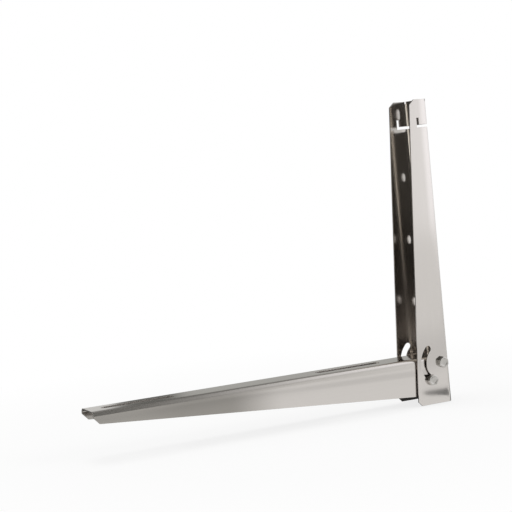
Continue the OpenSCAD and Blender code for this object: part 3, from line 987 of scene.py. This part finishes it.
class BRACKET_OT_studio(bpy.types.Operator):
    """Sets up the floor, the lights, the surround and the camera"""
    bl_idname = "bracket.studio"
    bl_label = "Studio"

    def execute(self, context):
        scene = context.scene
        settings = scene.bracket_studio
        scene.view_settings.view_transform = "Standard"
        self.camera(scene, settings)
        self.surround(scene)
        self.floor(scene)
        self.lights(scene)
        return {"FINISHED"}

    def camera(self, scene, settings):
        """Aims the camera at the upright, as the photograph was taken."""
        yaw, pitch, roll = settings.yaw, settings.pitch, settings.roll
        ahead = Vector((math.cos(yaw) * math.cos(pitch), math.sin(yaw) * math.cos(pitch),
                        math.sin(pitch)))
        level = ahead.cross(Vector((0, 0, 1))).normalized()
        above = level.cross(ahead)
        right = math.cos(roll) * level + math.sin(roll) * above
        up = math.cos(roll) * above - math.sin(roll) * level
        spot = (Vector((0, 0, 0.1465)) - ahead * settings.distance
                - right * settings.across - up * settings.down)
        data = bpy.data.cameras.new("camera")
        data.sensor_width = 36
        data.lens = settings.lens * data.sensor_width / IMAGE_SIZE
        data.shift_x = (IMAGE_SIZE / 2 - settings.centre_x) / IMAGE_SIZE
        data.shift_y = (settings.centre_y - IMAGE_SIZE / 2) / IMAGE_SIZE
        camera = bpy.data.objects.new("camera", data)
        camera.matrix_world = Matrix((
            (right.x, up.x, -ahead.x, spot.x),
            (right.y, up.y, -ahead.y, spot.y),
            (right.z, up.z, -ahead.z, spot.z),
            (0, 0, 0, 1)))
        scene.collection.objects.link(camera)
        scene.camera = camera

    def surround(self, scene):
        """White for the camera, soft light for the floor, and a toned studio for the steel to mirror."""
        world = bpy.data.worlds.new("surround")
        world.use_nodes = True
        scene.world = world
        tree = world.node_tree
        background = tree.nodes["Background"]
        rays = node(tree, "ShaderNodeLightPath").outputs
        place = node(tree, "ShaderNodeTexCoord").outputs["Generated"]
        way = node(tree, "ShaderNodeSeparateXYZ", {0: place}).outputs
        # The studio is dark on the side that the open channel faces
        front = self.shade(tree, way["X"], FRONT_SHADES)
        front = mix_colour(tree, remap(tree, way["Z"], 0.2, 0.6, 0.0, 1.0), front,
                           self.shade(tree, way["X"], CEILING_SHADES))
        back = self.shade(tree, way["X"], BACK_SHADES)
        high = op(tree, "MULTIPLY", remap(tree, way["Z"], 0.18, 0.4, 0.0, 0.45),
                  remap(tree, way["X"], -0.47, -0.42, 0.0, 1.0))
        back = mix_colour(tree, high, back, (0, 0, 0))
        window = op(tree, "MULTIPLY", remap(tree, way["Y"], -0.6, -0.5, 0.0, 1.0),
                    remap(tree, way["Y"], 0.44, 0.54, 1.0, 0.0))
        window = op(tree, "MULTIPLY", window, remap(tree, way["X"], 0.3, 0.5, 0.0, 1.0))
        # The window is dimmer higher up, so that level faces seen from above don't glare
        window = op(tree, "MULTIPLY", window, remap(tree, way["Z"], 0.12, 0.3, 1.0, 0.45))
        shade = mix_colour(tree, remap(tree, way["Y"], -0.15, 0.1, 0.0, 1.0), back, front)
        shade = mix_colour(tree, window, shade, (1.35, 1.31, 1.18))
        glossy = op(tree, "MAXIMUM", rays["Is Glossy Ray"], rays["Is Transmission Ray"])
        seen = mix_colour(tree, glossy, (0.55, 0.55, 0.55), shade)
        seen = mix_colour(tree, rays["Is Camera Ray"], seen, (1, 1, 1))
        tree.links.new(seen, background.inputs["Color"])

    def shade(self, tree, way, stops):
        """Colour along a scale that runs from -1 to 1, a little green where it is dark."""
        ramp = node(tree, "ShaderNodeValToRGB", {"Fac": remap(tree, way, -1.0, 1.0, 0.0, 1.0)})
        elements = ramp.color_ramp.elements
        elements.remove(elements[1])
        for i, (spot, light) in enumerate(stops):
            stop = elements.new((spot + 1) / 2) if i else elements[0]
            stop.position = (spot + 1) / 2
            stop.color = (light, light, light * (0.92 + 0.08 * light), 1)
        return ramp.outputs["Color"]

    def floor(self, scene):
        """A pale floor that keeps the shadow, and a toned one with a painted shadow under the bracket for
        the steel to mirror.
        """
        mesh = bpy.data.meshes.new("floor")
        bm = bmesh.new()
        bmesh.ops.create_circle(bm, cap_ends=True, segments=96, radius=4)
        bmesh.ops.translate(bm, verts=bm.verts, vec=(0, 0, FLOOR_LEVEL))
        bm.to_mesh(mesh)
        bm.free()
        floor = bpy.data.objects.new("floor", mesh)
        scene.collection.objects.link(floor)
        material, tree, shader = new_material("pale_floor")
        shader.inputs["Base Color"].default_value = (0.9, 0.9, 0.9, 1)
        shader.inputs["Roughness"].default_value = 0.9
        shader.inputs["Specular IOR Level"].default_value = 0
        rays = node(tree, "ShaderNodeLightPath").outputs
        place = node(tree, "ShaderNodeTexCoord").outputs["Object"]
        reach = node(tree, "ShaderNodeVectorMath", {
            0: place, 1: (0.2, 0, FLOOR_LEVEL)}, operation="DISTANCE").outputs["Value"]
        camera_share = remap(tree, reach, 0.3, 0.75, 0.8, 1.0)
        # Steel mirrors the floor's shade under the bracket, painted as a shadow into the floor's glow, a
        # dark strip beside it and its dark far side
        spot = node(tree, "ShaderNodeSeparateXYZ", {0: place}).outputs
        spread = op(tree, "SUBTRACT", op(tree, "MAXIMUM", spot["Y"], 0.0), FLOOR_FAN.y)
        spread = op(tree, "DIVIDE", -FLOOR_FAN.y, spread)
        fanned = op(tree, "MULTIPLY", op(tree, "SUBTRACT", spot["X"], FLOOR_FAN.x), spread)
        fanned = op(tree, "ADD", fanned, FLOOR_FAN.x)
        mirrored = self.shade(tree, fanned, FLOOR_SHADES)
        far = op(tree, "MULTIPLY", remap(tree, spot["Y"], 0.26, 0.30, 0.0, 0.15),
                 remap(tree, spot["Y"], 0.5, 0.8, 1.0, 0.0))
        mirrored = mix_colour(tree, far, mirrored, (0, 0, 0))
        # The upright's low inside mirrors the floor behind the arm, which is dark
        behind = op(tree, "MULTIPLY", remap(tree, spot["Y"], -0.45, -0.25, 0.85, 0.0),
                    remap(tree, spot["X"], 0.2, 0.3, 0.0, 1.0))
        mirrored = mix_colour(tree, behind, mirrored, (0.01, 0.01, 0.01))
        # Painted shadow: the floor's glow is darkened under the bracket, where the steel mirrors it
        under = remap(tree, op(tree, "ABSOLUTE", spot["Y"]), 0.024, 0.032, 1.0, 0.0)
        # The strip's near edge slants, and its far edge softens away from the wall
        near = op(tree, "ADD", op(tree, "MULTIPLY", fanned, 0.89), 0.0535)
        near = op(tree, "SUBTRACT", spot["Y"], near)
        far_edge = op(tree, "ADD", op(tree, "MULTIPLY", fanned, 0.14), 0.116)
        soft = op(tree, "ADD", op(tree, "MULTIPLY", fanned, 0.2), 0.004)
        past = op(tree, "DIVIDE", op(tree, "SUBTRACT", far_edge, spot["Y"]), soft)
        strip = op(tree, "MULTIPLY", remap(tree, near, -0.003, 0.003, 0.0, 1.0),
                   remap(tree, past, -0.5, 0.5, 0.0, 1.0))
        strip = op(tree, "MULTIPLY", strip, remap(tree, fanned, 0.005, 0.008, 0.0, 0.78))
        strip = op(tree, "MULTIPLY", strip, remap(tree, fanned, 0.048, 0.056, 1.0, 0.0))
        mirrored = mix_colour(tree, op(tree, "MAXIMUM", under, strip), mirrored, (0.03, 0.03, 0.03))
        glossy = op(tree, "MAXIMUM", rays["Is Glossy Ray"], rays["Is Transmission Ray"])
        plain = node(tree, "ShaderNodeEmission", {"Color": (1, 1, 1, 1), "Strength": 1.0})
        camera_share = op(tree, "MULTIPLY", rays["Is Camera Ray"], camera_share)
        mixed = node(tree, "ShaderNodeMixShader", {
            0: camera_share, 1: shader.outputs[0], 2: plain.outputs[0]})
        glow = node(tree, "ShaderNodeEmission", {"Color": mirrored, "Strength": 1.0})
        mixed = node(tree, "ShaderNodeMixShader", {0: glossy, 1: mixed.outputs[0], 2: glow.outputs[0]})
        tree.links.new(mixed.outputs[0], tree.nodes["Material Output"].inputs["Surface"])
        mesh.materials.append(material)

    def lights(self, scene):
        """Two large soft lamps, which the steel doesn't mirror."""
        for name, place, size, power in (
                ("key_light", (-1.6, 2.2, 1.6), 1.8, 30),
                ("fill_light", (0.6, -0.4, 2.4), 1.6, 20)):
            data = bpy.data.lights.new(name, "AREA")
            data.shape = "DISK"
            data.size = size
            data.energy = power
            light = bpy.data.objects.new(name, data)
            light.location = place
            light.visible_camera = False
            light.visible_glossy = False
            light.rotation_euler = (Vector((0.15, 0, 0.1)) - Vector(place)).to_track_quat(
                "-Z", "Y").to_euler()
            scene.collection.objects.link(light)


class BRACKET_PT_panel(bpy.types.Panel):
    """Buttons that dress the bracket"""
    bl_label = "Wall Bracket"
    bl_idname = "BRACKET_PT_panel"
    bl_space_type = "VIEW_3D"
    bl_region_type = "UI"
    bl_category = "Bracket"

    def draw(self, context):
        layout = self.layout
        for operator in OPERATORS:
            layout.operator(operator.bl_idname)
        for key in SETTINGS:
            settings = getattr(context.scene, key)
            box = layout.box()
            for prop in settings.bl_rna.properties:
                if prop.identifier not in ("rna_type", "name"):
                    box.prop(settings, prop.identifier)


SETTINGS = {
    "bracket_sheet": SheetSettings,
    "bracket_upright": UprightSettings,
    "bracket_arm": ArmSettings,
    "bracket_fold": FoldSettings,
    "bracket_fasteners": FastenerSettings,
    "bracket_studio": StudioSettings,
}
OPERATORS = (
    BRACKET_OT_upright, BRACKET_OT_arm, BRACKET_OT_bolts, BRACKET_OT_nuts, BRACKET_OT_washers,
    BRACKET_OT_spring_washers, BRACKET_OT_studio,
)


def register():
    for cls in (*SETTINGS.values(), *OPERATORS, BRACKET_PT_panel):
        bpy.utils.register_class(cls)
    for key, cls in SETTINGS.items():
        setattr(bpy.types.Scene, key, PointerProperty(type=cls))


def unregister():
    for key in SETTINGS:
        delattr(bpy.types.Scene, key)
    for cls in reversed((*SETTINGS.values(), *OPERATORS, BRACKET_PT_panel)):
        bpy.utils.unregister_class(cls)


def main():
    register()
    for operator in OPERATORS:
        group, name = operator.bl_idname.split(".")
        getattr(getattr(bpy.ops, group), name)()


if __name__ == "__main__":
    main()
